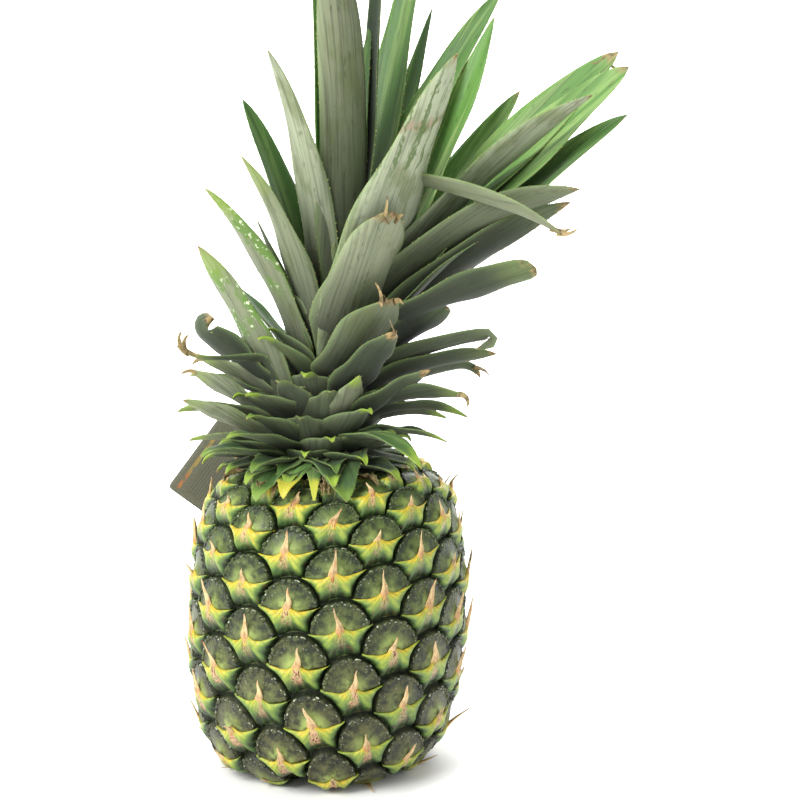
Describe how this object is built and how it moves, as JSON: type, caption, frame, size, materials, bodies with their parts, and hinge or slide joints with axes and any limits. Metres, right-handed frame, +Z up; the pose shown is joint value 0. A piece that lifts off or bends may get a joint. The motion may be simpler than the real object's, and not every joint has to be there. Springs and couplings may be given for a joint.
{
  "type": "pineapple",
  "caption": "Whole ripe pineapple standing upright, its skin of domed eyes with dried tips, a tall crown of pointed leaves and a small card tag tucked behind the shoulder.",
  "frame": {"origin": "the centre of the flat spot that the fruit stands on", "axes": "+Z up along the fruit to the crown, -Y the front seen in the picture, +X to the right of the front"},
  "size_m": [0.1959, 0.1257, 0.3727],
  "materials": {
    "rind": "waxy, ridged",
    "leaf": "waxy bloom, fine lengthwise grain",
    "card": "matt printed card"
  },
  "bodies": {
    "root": {"fruit": "rind", "crown": "leaf", "tag": "card"}
  },
  "joints": []
}
